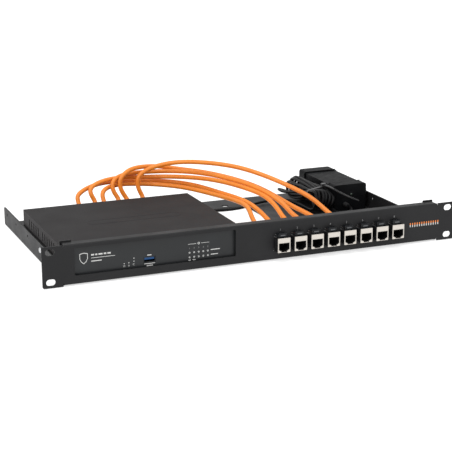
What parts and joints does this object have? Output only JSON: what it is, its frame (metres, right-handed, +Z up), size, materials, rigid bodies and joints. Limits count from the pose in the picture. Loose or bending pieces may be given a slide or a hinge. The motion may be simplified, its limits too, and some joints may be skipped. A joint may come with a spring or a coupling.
{
  "type": "rack mounted desktop firewall appliance",
  "caption": "Desktop firewall in a one-unit rack kit with front keystone couplers, orange patch leads at the back, and a power adapter with its tied lead.",
  "frame": {"origin": "middle of the base, on the surface that the panel ears, side arms and pan stand on, with the leads left out", "axes": "+X to the right along the panel, +Y towards the back of the rack, +Z up; the panel faces -Y"},
  "size_m": [0.4826, 0.276, 0.0741],
  "materials": {
    "rack_steel": "satin powder coat",
    "bright_steel": "zinc plated",
    "firewall_steel": "fine satin paint",
    "fascia_plastic": "smooth satin",
    "circuit_board": "solder mask",
    "jack_metal": "bright tin plate",
    "black_plastic": "satin",
    "rubber_feet": "matt",
    "orange_jacket": "soft satin",
    "adapter_shell": "fine spark texture",
    "black_jacket": "satin"
  },
  "bodies": {
    "rack_kit": {"front_panel": "rack_steel", "base_pan": "rack_steel", "left_arm": "rack_steel", "right_arm": "rack_steel", "arm_screw": "bright_steel", "firewall_base": "firewall_steel", "firewall_cover": "firewall_steel", "firewall_fascia": "fascia_plastic", "main_board": "circuit_board", "rear_jack_block": "jack_metal", "usb_port": "jack_metal", "dc_jack": "black_plastic", "firewall_foot_1": "rubber_feet", "firewall_foot_2": "rubber_feet", "firewall_foot_3": "rubber_feet", "firewall_foot_4": "rubber_feet", "coupler_1": "jack_metal", "coupler_2": "jack_metal", "coupler_3": "jack_metal", "coupler_4": "jack_metal", "coupler_5": "jack_metal", "coupler_6": "jack_metal", "coupler_7": "jack_metal", "coupler_8": "jack_metal", "patch_lead_1": "orange_jacket", "firewall_plug_1": "orange_jacket", "panel_plug_1": "orange_jacket", "patch_lead_2": "orange_jacket", "firewall_plug_2": "orange_jacket", "panel_plug_2": "orange_jacket", "patch_lead_3": "orange_jacket", "firewall_plug_3": "orange_jacket", "panel_plug_3": "orange_jacket", "patch_lead_4": "orange_jacket", "firewall_plug_4": "orange_jacket", "panel_plug_4": "orange_jacket", "patch_lead_5": "orange_jacket", "firewall_plug_5": "orange_jacket", "panel_plug_5": "orange_jacket", "patch_lead_6": "orange_jacket", "firewall_plug_6": "orange_jacket", "panel_plug_6": "orange_jacket", "adapter_lower": "adapter_shell", "adapter_upper": "adapter_shell", "ac_inlet": "black_plastic", "dc_strain_relief": "black_plastic", "dc_lead_adapter_side": "black_jacket", "dc_lead_hank": "black_jacket", "dc_lead_device_side": "black_jacket", "dc_plug": "black_plastic", "cable_tie": "black_plastic"},
    "coupler_latch_1_body": {"coupler_latch_1": "black_plastic"},
    "coupler_latch_2_body": {"coupler_latch_2": "black_plastic"},
    "coupler_latch_3_body": {"coupler_latch_3": "black_plastic"},
    "coupler_latch_4_body": {"coupler_latch_4": "black_plastic"},
    "coupler_latch_5_body": {"coupler_latch_5": "black_plastic"},
    "coupler_latch_6_body": {"coupler_latch_6": "black_plastic"},
    "coupler_latch_7_body": {"coupler_latch_7": "black_plastic"},
    "coupler_latch_8_body": {"coupler_latch_8": "black_plastic"},
    "reset_button_body": {"reset_button": "black_plastic"}
  },
  "joints": [
    {"name": "coupler_latch_1_flex", "type": "hinge", "parent": "rack_kit", "child": "coupler_latch_1_body", "pos_m": [0.0228, -0.1088, 0.0273], "axis": [1, 0, 0], "range_deg": [0, 2.8], "stiffness_Nm_per_rad": 0.4},
    {"name": "coupler_latch_2_flex", "type": "hinge", "parent": "rack_kit", "child": "coupler_latch_2_body", "pos_m": [0.04286, -0.1088, 0.0273], "axis": [1, 0, 0], "range_deg": [0, 2.8], "stiffness_Nm_per_rad": 0.4},
    {"name": "coupler_latch_3_flex", "type": "hinge", "parent": "rack_kit", "child": "coupler_latch_3_body", "pos_m": [0.06292, -0.1088, 0.0273], "axis": [1, 0, 0], "range_deg": [0, 2.8], "stiffness_Nm_per_rad": 0.4},
    {"name": "coupler_latch_4_flex", "type": "hinge", "parent": "rack_kit", "child": "coupler_latch_4_body", "pos_m": [0.08298, -0.1088, 0.0273], "axis": [1, 0, 0], "range_deg": [0, 2.8], "stiffness_Nm_per_rad": 0.4},
    {"name": "coupler_latch_5_flex", "type": "hinge", "parent": "rack_kit", "child": "coupler_latch_5_body", "pos_m": [0.10304, -0.1088, 0.0273], "axis": [1, 0, 0], "range_deg": [0, 2.8], "stiffness_Nm_per_rad": 0.4},
    {"name": "coupler_latch_6_flex", "type": "hinge", "parent": "rack_kit", "child": "coupler_latch_6_body", "pos_m": [0.1231, -0.1088, 0.0273], "axis": [1, 0, 0], "range_deg": [0, 2.8], "stiffness_Nm_per_rad": 0.4},
    {"name": "coupler_latch_7_flex", "type": "hinge", "parent": "rack_kit", "child": "coupler_latch_7_body", "pos_m": [0.14316, -0.1088, 0.0273], "axis": [1, 0, 0], "range_deg": [0, 2.8], "stiffness_Nm_per_rad": 0.4},
    {"name": "coupler_latch_8_flex", "type": "hinge", "parent": "rack_kit", "child": "coupler_latch_8_body", "pos_m": [0.16322, -0.1088, 0.0273], "axis": [1, 0, 0], "range_deg": [0, 2.8], "stiffness_Nm_per_rad": 0.4},
    {"name": "reset_button_press", "type": "slide", "parent": "rack_kit", "child": "reset_button_body", "axis": [0, -1, 0], "range_m": [0, 0.001], "stiffness_N_per_m": 400}
  ]
}
